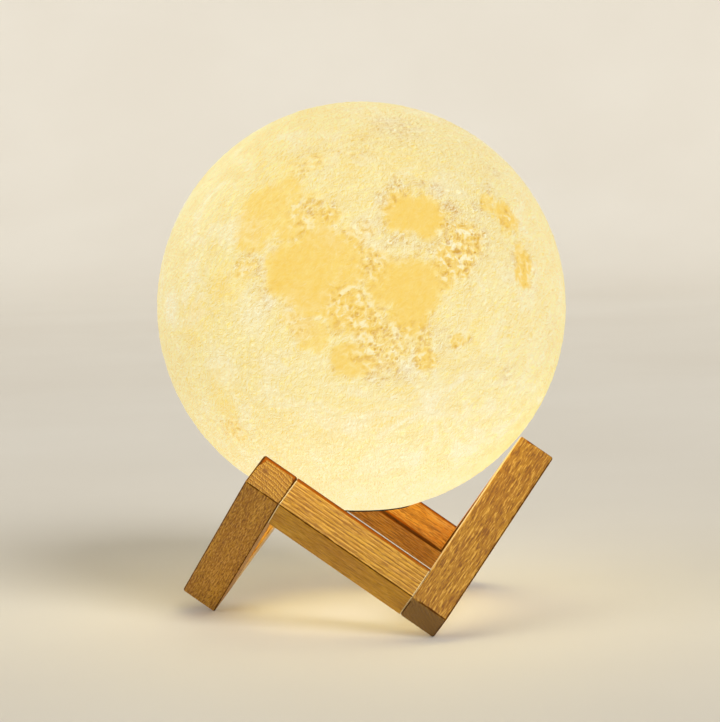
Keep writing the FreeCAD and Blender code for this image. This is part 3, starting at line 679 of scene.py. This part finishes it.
def beech(name, bar, settings, seed):
    """Oiled beech, planed and sanded, which gives the eye straight growth rings, short ray flecks along the
    grain with painted shade on one side and a painted highlight on the other, darker end grain, arrises burnt
    brown by the sander, and a soft low sheen. The faces and butted ends by the globe have its light painted
    on in cream."""
    material, tree, shader = new_material(name)
    late, fleck, pale = (*settings.late, 1), (*settings.fleck, 1), (*settings.pale, 1)
    inner, edge = (*settings.inner, 1), (*settings.edge, 1)
    turn = Matrix((bar["axis"], bar["side"], bar["third"])).transposed().to_euler()
    place = add(tree, "ShaderNodeTexCoord").outputs["Object"]
    in_bar = {"Vector": place, "Location": bar["middle"], "Rotation": turn, "Scale": (MM, MM, MM)}
    local = add(tree, "ShaderNodeMapping", in_bar, vector_type="TEXTURE")
    shifted = add(tree, "vector_add", [local, tuple(PATTERN_STEP * seed)])
    normal = add(tree, "ShaderNodeNewGeometry").outputs["Normal"]
    end_on = add(tree, "absolute", [add(tree, "vector_dot_product", [normal, tuple(bar["axis"])])])
    line, gleam, bent = growth_rings(tree, local, shifted, normal, end_on, bar, settings.ring_width)
    flecks, step = ray_flecks(tree, shifted, bar)

    cloud = add(tree, "vector_multiply", [shifted, (0.05, 0.2, 0.2)])
    cloud = add(tree, "noise", {"Vector": cloud, "Scale": 1.0, "Detail": 3.0, "Roughness": 0.6})
    cloud = add(tree, "ramp", [cloud, 0.35, 0.65])
    colour = add(tree, "mix", [cloud, (*settings.early, 1), (*settings.warm, 1)])
    colour = add(tree, "mix", [bar["shade"], colour, late])
    colour = add(tree, "mix", [1.0, colour, (*bar["tint"], 1)], blend_type="MULTIPLY")
    colour = add(tree, "mix", [add(tree, "multiply", [gleam, 0.7]), colour, pale])
    colour = add(tree, "mix", [add(tree, "multiply", [line, 0.85]), colour, late])
    # Painted shade and highlight: each fleck is dark on one side and pale on the other.
    colour = add(tree, "mix", [add(tree, "ramp", [step, -0.02, -0.17, 0.0, bar["flecks"]]), colour, fleck])
    colour = add(tree, "mix", [add(tree, "ramp", [step, 0.04, 0.2, 0.0, bar["flecks"] * 0.6]), colour, pale])
    end_grain = add(tree, "ramp", [end_on, 0.6, 0.95, 0.0, bar["end"]])
    colour = add(tree, "mix", [end_grain, colour, (*settings.end_grain, 1)])
    if "knot" in bar:
        knot = add(tree, "ramp", [add(tree, "vector_distance", [bent, bar["knot"]]), 1.5, 0.6, 0.0, 0.8])
        colour = add(tree, "mix", [knot, colour, fleck])
    # Painted light: the face that looks the way pale gives is painted cream, for the globe's light on it.
    globe_lit_way = bar["side"] * bar["pale"][0] + bar["third"] * bar["pale"][1]
    globe_lit_face = add(tree, "vector_dot_product", [normal, tuple(globe_lit_way)])
    colour = add(tree, "mix", [add(tree, "ramp", [globe_lit_face, 0.6, 0.9, 0.0, 0.45]), colour, inner])

    burnt, near_globe, arris, end = burnt_arrises(tree, place, local, bar)
    # Painted highlight: a cream band at the butted ends, where the globe's light catches them.
    if bar["butted"]:
        colour = add(tree, "mix", [add(tree, "ramp", [end, 0.45, 0.2, 0.0, 0.75]), colour, inner])
    scorched = add(tree, "mix", [add(tree, "ramp", [arris, 1.1, 0.5]), (*settings.burnt, 1), edge])
    colour = add(tree, "mix", [burnt, colour, add(tree, "mix", [near_globe, edge, scorched])])
    link(tree, colour, shader.inputs["Base Color"])
    link(tree, add(tree, "ramp", [flecks, 0.3, 0.7, 0.55, 0.42]), shader.inputs["Roughness"])
    link(tree, add(tree, "ramp", [burnt, 0.0, 0.6, 0.25, 0.02]), shader.inputs["Specular IOR Level"])
    grain = add(tree, "multiply_add", [line, -0.4, flecks])
    bump = add(tree, "ShaderNodeBump", {"Strength": 0.8, "Distance": 0.35 * MM, "Height": grain})
    link(tree, bump, shader.inputs["Normal"])
    return material


def moulded(name, colour, roughness, grain_mm=0.4, metallic=0.0, specular=0.5):
    """A moulded, plated or turned finish of one colour, which gives the eye a faint cloud in the colour and
    a spark eroded grain in the gloss. The real grain, about 0.1 mm, is too fine to show, so it is coarser."""
    material, tree, shader = new_material(name)
    place = add(tree, "ShaderNodeTexCoord").outputs["Object"]
    cloud = add(tree, "noise", {"Vector": place, "Scale": 1 / (9 * MM), "Detail": 3.0})
    darker = tuple(channel * 0.86 for channel in colour[:3])
    tint = add(tree, "mix", [add(tree, "ramp", [cloud, 0.3, 0.7]), (*colour[:3], 1), (*darker, 1)])
    link(tree, tint, shader.inputs["Base Color"])
    grit = add(tree, "noise", {"Vector": place, "Scale": 1 / (grain_mm * MM), "Detail": 2.0})
    gloss = add(tree, "ramp", [grit, 0.3, 0.7, roughness - 0.06, roughness + 0.06])
    link(tree, gloss, shader.inputs["Roughness"])
    shader.inputs["Metallic"].default_value = metallic
    shader.inputs["Specular IOR Level"].default_value = specular
    bump = add(tree, "ShaderNodeBump", {"Strength": 0.25, "Distance": 0.05 * MM, "Height": grit})
    link(tree, bump, shader.inputs["Normal"])
    return material


# ---- The globe


def unit_grid(tree, columns, rows):
    """A flat grid of faces: (geometry, share of the way round, share of the way down)."""
    size = {"Size X": 1.0, "Size Y": 1.0}
    size |= {"Vertices X": add(tree, "add", [columns, 1]), "Vertices Y": add(tree, "add", [rows, 1])}
    grid = add(tree, "GeometryNodeMeshGrid", size).outputs["Mesh"]
    spot = add(tree, "xyz", [add(tree, "GeometryNodeInputPosition")]).outputs
    return grid, add(tree, "add", [spot["X"], 0.5]), add(tree, "subtract", [0.5, spot["Y"]])


def grid_on_sphere(tree, columns, rows, polar_end, outward):
    """A grid to be bent into a ball from its top down to an angle, facing out or in: (geometry, direction
    from the centre, angle from the top)."""
    grid, turn, share = unit_grid(tree, columns, rows)
    turn = add(tree, "multiply", [turn, math.tau if outward else -math.tau])
    polar = add(tree, "multiply", [share, polar_end])
    level = add(tree, "sine", [polar])
    parts = {
        "X": add(tree, "multiply", [level, add(tree, "cosine", [turn])]),
        "Y": add(tree, "multiply", [level, add(tree, "sine", [turn])]),
        "Z": add(tree, "cosine", [polar]),
    }
    return grid, add(tree, "ShaderNodeCombineXYZ", parts), polar


def placed(tree, grid, direction, radius):
    """The grid moved out along its directions to a radius about the globe's centre."""
    spot = add(tree, "vector_add", [add(tree, "vector_scale", [direction, radius]), tuple(GLOBE_CENTRE)])
    return add(tree, "GeometryNodeSetPosition", {"Geometry": grid, "Position": spot})


def globe_tree():
    """The printed shell: relief outside, smooth inside, and a round wall at the mouth between them."""
    tree = bpy.data.node_groups.new("printed_moon_shell", "GeometryNodeTree")
    tree.interface.new_socket("Geometry", in_out="OUTPUT", socket_type="NodeSocketGeometry")
    inputs = dict.fromkeys(("Radius", "Wall", "Mouth Radius", "Relief"), "NodeSocketFloat")
    inputs |= {"Around": "NodeSocketInt", "Down": "NodeSocketInt", "Material": "NodeSocketMaterial"}
    for name, kind in inputs.items():
        tree.interface.new_socket(name, in_out="INPUT", socket_type=kind)
    given = add(tree, "NodeGroupInput").outputs
    radius, mouth = given["Radius"], given["Mouth Radius"]
    inner_radius = add(tree, "subtract", [radius, given["Wall"]])
    outer_end, inner_end = (
        add(tree, "subtract", [math.pi, add(tree, "arcsine", [add(tree, "divide", [mouth, size])])])
        for size in (radius, inner_radius)
    )

    outside, direction, polar = grid_on_sphere(tree, given["Around"], given["Down"], outer_end, True)
    face = face_place(tree, direction)
    masks = moon_masks(tree, face)
    for name in MASKS:
        kept = {"Geometry": outside, "Name": name, "Value": masks[name]}
        outside = add(tree, "GeometryNodeStoreNamedAttribute", kept, data_type="FLOAT", domain="POINT")
    height = add(tree, "multiply_add", [relief(tree, face, masks)[0], 0.5, -0.5])
    height = add(tree, "multiply", [add(tree, "minimum", [height, 0.0]), given["Relief"]])
    fade = add(tree, "ramp", [polar, math.pi - RIM_ANGLE, math.pi - RELIEF_ANGLE])
    outside = placed(tree, outside, direction, add(tree, "multiply_add", [height, fade, radius]))

    inside, direction, _ = grid_on_sphere(tree, given["Around"], INNER_ROWS, inner_end, False)
    inside = placed(tree, inside, direction, inner_radius)

    wall, turn, share = unit_grid(tree, given["Around"], 1)
    turn = add(tree, "multiply", [turn, math.tau])
    low = add(tree, "multiply", [add(tree, "cosine", [outer_end]), radius])
    high = add(tree, "multiply", [add(tree, "cosine", [inner_end]), inner_radius])
    level = add(tree, "multiply_add", [add(tree, "subtract", [high, low]), share, low])
    parts = {
        "X": add(tree, "multiply", [mouth, add(tree, "cosine", [turn])]),
        "Y": add(tree, "multiply", [mouth, add(tree, "sine", [turn])]),
        "Z": add(tree, "add", [level, GLOBE_CENTRE.z]),
    }
    spot = add(tree, "ShaderNodeCombineXYZ", parts)
    wall = add(tree, "GeometryNodeSetPosition", {"Geometry": wall, "Position": spot})

    joined = add(tree, "GeometryNodeJoinGeometry")
    for shape in (wall, inside, outside):
        link(tree, shape, joined.inputs[0])
    merged = add(tree, "GeometryNodeMergeByDistance", {"Geometry": joined, "Distance": WELD})
    smooth = add(tree, "GeometryNodeSetShadeSmooth", {"Geometry": merged})
    whole = add(tree, "GeometryNodeRealizeInstances", {"Geometry": smooth})
    clad = add(tree, "GeometryNodeSetMaterial", {"Geometry": whole, "Material": given["Material"]})
    add(tree, "NodeGroupOutput", {0: clad})
    return tree


def made_by(tree, name, values):
    """A plain mesh object made by a geometry tree with these input values, by input name."""
    piece = bpy.data.objects.new(name, bpy.data.meshes.new(name))
    bpy.context.scene.collection.objects.link(piece)
    modifier = piece.modifiers.new(name, "NODES")
    modifier.node_group = tree
    for item in tree.interface.items_tree:
        if item.in_out == "INPUT" and item.name in values:
            modifier[item.identifier] = values[item.name]
    evaluated = piece.evaluated_get(bpy.context.evaluated_depsgraph_get())
    mesh = bpy.data.meshes.new_from_object(evaluated)
    piece.modifiers.clear()
    piece.data = mesh
    mesh.name = name
    return piece


class MOONLAMP_OT_globe(bpy.types.Operator):
    """Makes the printed globe with its relief, its inner wall and its mouth"""

    bl_idname = "moon_lamp.globe"
    bl_label = "Printed globe"

    def execute(self, context):
        settings = context.scene.moon_lamp_globe
        material = printed_pla(settings)
        values = {
            "Radius": GLOBE_RADIUS,
            "Wall": GLOBE_WALL,
            "Mouth Radius": MOUTH_RADIUS,
            "Relief": settings.relief,
            "Around": settings.around,
            "Down": settings.down,
            "Material": material,
        }
        globe = made_by(globe_tree(), "moon_globe", values)
        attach(globe, "globe")
        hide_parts("globe_shell")
        return {"FINISHED"}


# ---- The stand


def ring_direction(azimuth):
    """The direction of a cube's edge that rises from its lowest corner, by its azimuth in degrees."""
    angle = math.radians(azimuth)
    return Vector((CUBE_REACH * math.cos(angle), CUBE_REACH * math.sin(angle), CUBE_RISE))


LEFT, FRONT, BACK = ring_direction(180), ring_direction(-60), ring_direction(60)
# Each bar: axis is the direction of its length, and side the way that its flat face looks. pith is where the
# tree's middle lay from the bar's axis, in mm. lines are the strengths of the growth rings on the faces to
# the side and on the others, and wander is how far the rings stray, in mm. fleck is a fleck's length and
# width in mm, and flecks their strength. shade darkens the whole bar, tint multiplies its colour by a hue,
# and end darkens its ends. pale is the way that the face with the globe's light painted on it looks, and
# sharp the arris that is not burnt, both by side and by the third direction. knot is a small knot's place in
# the bar, in mm.
BARS = {
    "left_leg_bar": {"axis": FRONT, "side": LEFT, "pith": (6, 44), "lines": (0.3, 0.3), "wander": 2.0}
    | {"fleck": (2.4, 0.5), "flecks": 0.8, "shade": 0.25, "tint": (1.0, 1.0, 0.95), "end": 0.1}
    | {"pale": (0, 0), "sharp": (0, 0), "knot": (42.65, 3.76, -1.31)},
    "right_leg_bar": {"axis": BACK, "side": FRONT, "pith": (34, 30), "lines": (0.2, 0.3), "wander": 3.0}
    | {"fleck": (3.6, 0.6), "flecks": 1.0, "shade": 0.4, "tint": (0.88, 0.86, 0.78), "end": 0.7}
    | {"pale": (0, -1), "sharp": (1, -1)},
    "back_leg_bar": {"axis": LEFT, "side": BACK, "pith": (12, 40), "lines": (0.6, 0.5), "wander": 3.0}
    | {"fleck": (3.5, 0.55), "flecks": 0.7, "shade": 0.0, "tint": (1.2, 0.94, 0.65), "end": 0.5}
    | {"pale": (0, 0), "sharp": (0, 0)},
    "front_cross_bar": {"axis": LEFT, "side": FRONT, "pith": (5, 46), "lines": (0.9, 0.2), "wander": 1.6}
    | {"fleck": (4.0, 0.5), "flecks": 0.6, "shade": 0.0, "tint": (1.0, 1.03, 0.85), "end": 0.4}
    | {"pale": (0, 0), "sharp": (0, 0)},
    "right_cross_bar": {"axis": FRONT, "side": BACK, "pith": (30, -22), "lines": (0.6, 0.5), "wander": 3.0}
    | {"fleck": (3.5, 0.55), "flecks": 0.7, "shade": 0.0, "tint": (1.1, 0.94, 0.75), "end": 0.4}
    | {"pale": (0, 0), "sharp": (0, 0)},
    "left_cross_bar": {"axis": BACK, "side": LEFT, "pith": (-18, 34), "lines": (0.6, 0.5), "wander": 3.0}
    | {"fleck": (3.5, 0.55), "flecks": 0.7, "shade": 0.0, "tint": (1.1, 0.94, 0.75), "end": 0.4}
    | {"pale": (-1, 0), "sharp": (-1, 1)},
}


def measured(name, bar):
    """The bar's values with its third direction, its middle, its half sizes in mm, and if its ends butt."""
    ways = (bar["axis"], bar["side"], bar["axis"].cross(bar["side"]))
    corners = [vertex.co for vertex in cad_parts[name].data.vertices]
    middle, half = Vector(), []
    for way in ways:
        reached = [corner.dot(way) for corner in corners]
        middle += way * (min(reached) + max(reached)) / 2
        half.append((max(reached) - min(reached)) / 2 / MM)
    return bar | {"third": ways[2], "middle": middle, "half": half, "butted": "cross" in name}


class MOONLAMP_OT_stand(bpy.types.Operator):
    """Gives each bar of the ring its own piece of beech"""

    bl_idname = "moon_lamp.stand"
    bl_label = "Beech ring"

    def execute(self, context):
        settings = context.scene.moon_lamp_stand
        for seed, (name, bar) in enumerate(BARS.items(), 1):
            paint([name], beech("beech_" + name, measured(name, bar), settings, seed))
        paint(["stand_dowels"], moulded("beech_dowel", linear("C99E62"), 0.6))
        return {"FINISHED"}


# ---- The light module


class MOONLAMP_OT_module(bpy.types.Operator):
    """Finishes the cap, the seal, the housing and everything inside"""

    bl_idname = "moon_lamp.module"
    bl_label = "Light module"

    def execute(self, context):
        settings = context.scene.moon_lamp_module
        case = ("base_cap", "module_housing", "mouth_collar", "power_button")
        paint(case, moulded("abs_white", settings.case, 0.5))
        paint(["diffuser_dome"], moulded("frosted_acrylic", settings.dome, 0.55))
        paint(["cap_gasket"], moulded("silicone_black", settings.seal, 0.6, specular=0.3))
        metals = (
            (["usb_port_shell"], "nickel_plate", "C3C3C6", 0.28, 1.0),
            (["board_screws", "led_board_screws"], "zinc_plate", "B4B4B0", 0.32, 1.0),
            (["battery_cell"], "pouch_foil", "BEC0C2", 0.4, 0.8),
        )
        for names, finish, colour, roughness, metallic in metals:
            paint(names, moulded(finish, linear(colour), roughness, metallic=metallic))
        paint(["battery_foam"], moulded("foam_grey", linear("55565A"), 0.9, grain_mm=0.8))
        plastics = (
            (["usb_port_tongue", "tact_switch", "switch_plunger"], "nylon_black", "19191A", 0.5),
            (["board_chips"], "chip_epoxy", "202124", 0.45),
            (["control_board"], "board_green_mask", "1F5B34", 0.35),
            (["led_board"], "board_white_mask", "ECEBE4", 0.35),
            (["status_light"], "clear_acrylic", "DCE6E0", 0.15),
            (["battery_plug"], "nylon_white", "E4E2D8", 0.5),
            (["battery_lead_red"], "pvc_red", "A91F17", 0.4),
            (["battery_lead_black"], "pvc_black", "161616", 0.4),
            (["led_wires"], "pvc_white", "E2E0D8", 0.4),
            (["led_chips"], "led_phosphor", "F2D36A", 0.4),
        )
        for names, finish, colour, roughness in plastics:
            paint(names, moulded(finish, linear(colour), roughness))
        return {"FINISHED"}


# ---- The stage


FLOOR_REACH = 3.0
# Behind the lamp the floor bends up into a backdrop: where the bend starts, its radius, steps and top.
BEND_START, BEND_RADIUS, BEND_STEPS, BACKDROP_TOP = 1.6, 0.6, 12, 3.0


def sun(name, toward, strength, spread):
    """A large soft lamp far off, in a direction from the lamp, spread over an angle in degrees."""
    light = bpy.data.lights.new(name, "SUN")
    light.energy = strength
    light.angle = math.radians(spread)
    lamp = bpy.data.objects.new(name, light)
    lamp.rotation_euler = Vector(toward).to_track_quat("Z", "Y").to_euler()
    bpy.context.scene.collection.objects.link(lamp)


def set_camera(settings):
    """The camera where the photographer stood."""
    camera = bpy.data.objects.new("camera", bpy.data.cameras.new("camera"))
    camera.data.lens = settings.lens
    camera.data.sensor_width = 36
    camera.data.clip_start = 0.01
    turn = Euler((0, 0, settings.heading)).to_matrix()
    turn = turn @ Euler((math.pi / 2 + settings.tilt, 0, 0)).to_matrix()
    turn = turn @ Euler((0, 0, settings.roll)).to_matrix()
    camera.matrix_world = Matrix.Translation(settings.place) @ turn.to_4x4()
    bpy.context.scene.collection.objects.link(camera)
    bpy.context.scene.camera = camera


def lay_floor():
    """A pale painted floor that bends up into the backdrop."""
    material, tree, shader = new_material("pale_floor")
    place = add(tree, "ShaderNodeTexCoord").outputs["Object"]
    cloud = add(tree, "ramp", [add(tree, "noise", {"Vector": place, "Scale": 3.0, "Detail": 4.0}), 0.3, 0.7])
    tint = add(tree, "mix", [cloud, linear("DCD6CA"), linear("D7D0C3")])
    link(tree, tint, shader.inputs["Base Color"])
    shader.inputs["Roughness"].default_value = 0.75

    profile = [(-FLOOR_REACH, 0.0)]
    for step in range(BEND_STEPS + 1):
        angle = math.radians(90 / BEND_STEPS * step)
        profile.append((BEND_START + BEND_RADIUS * math.sin(angle), BEND_RADIUS * (1 - math.cos(angle))))
    profile.append((BEND_START + BEND_RADIUS, BACKDROP_TOP))
    verts = [(x, y, z) for y, z in profile for x in (-FLOOR_REACH, FLOOR_REACH)]
    faces = [(2 * i, 2 * i + 1, 2 * i + 3, 2 * i + 2) for i in range(len(profile) - 1)]
    mesh = bpy.data.meshes.new("floor")
    mesh.from_pydata(verts, [], faces)
    mesh.shade_smooth()
    mesh.materials.append(material)
    floor = bpy.data.objects.new("floor", mesh)
    bpy.context.scene.collection.objects.link(floor)


def light_room(settings):
    """The room's even light, which looks brighter where it is seen itself, and two soft lamps."""
    world = bpy.data.worlds.new("room")
    world.use_nodes = True
    tree = world.node_tree
    background = tree.nodes["Background"]
    background.inputs["Color"].default_value = linear("FFFDF8")
    rays = add(tree, "ShaderNodeLightPath").outputs
    seen = add(tree, "maximum", [rays["Is Glossy Ray"], rays["Is Transmission Ray"]])
    seen = add(tree, "maximum", [rays["Is Camera Ray"], seen])
    level = add(tree, "multiply_add", [seen, settings.beyond - settings.room, settings.room])
    link(tree, level, background.inputs["Strength"])
    bpy.context.scene.world = world
    sun("key", (0.5, -0.62, 0.6), settings.key, 25)
    sun("fill", (-0.8, -0.5, 0.35), settings.fill, 40)


class MOONLAMP_OT_stage(bpy.types.Operator):
    """Sets the camera, a pale floor and plain studio light"""

    bl_idname = "moon_lamp.stage"
    bl_label = "Stage"

    def execute(self, context):
        settings = context.scene.moon_lamp_stage
        set_camera(settings)
        lay_floor()
        light_room(settings)
        context.scene.view_settings.view_transform = "Standard"
        return {"FINISHED"}


class MOONLAMP_PT_panel(bpy.types.Panel):
    """The lamp's pieces and settings"""

    bl_idname = "MOONLAMP_PT_panel"
    bl_label = "Moon lamp"
    bl_space_type = "VIEW_3D"
    bl_region_type = "UI"
    bl_category = "Moon lamp"

    def draw(self, context):
        for kind, group in SETTINGS.items():
            box = self.layout.box()
            for name in group.__annotations__:
                box.prop(getattr(context.scene, kind), name)
        for operator in OPERATORS:
            self.layout.operator(operator.bl_idname)


SETTINGS = {
    "moon_lamp_globe": MoonLampGlobe,
    "moon_lamp_stand": MoonLampStand,
    "moon_lamp_module": MoonLampModule,
    "moon_lamp_stage": MoonLampStage,
}
OPERATORS = (MOONLAMP_OT_stage, MOONLAMP_OT_globe, MOONLAMP_OT_stand, MOONLAMP_OT_module)


def register():
    """Registers the classes, and hangs the settings on the scene."""
    for group in (*SETTINGS.values(), *OPERATORS, MOONLAMP_PT_panel):
        bpy.utils.register_class(group)
    for name, group in SETTINGS.items():
        setattr(bpy.types.Scene, name, bpy.props.PointerProperty(type=group))


def unregister():
    """Undoes register."""
    for name in SETTINGS:
        delattr(bpy.types.Scene, name)
    for group in (MOONLAMP_PT_panel, *reversed(OPERATORS), *reversed(SETTINGS.values())):
        bpy.utils.unregister_class(group)


def main():
    """Makes the lamp and its stage."""
    register()
    bpy.ops.moon_lamp.stage()
    bpy.ops.moon_lamp.globe()
    bpy.ops.moon_lamp.stand()
    bpy.ops.moon_lamp.module()


if __name__ == "__main__":
    main()
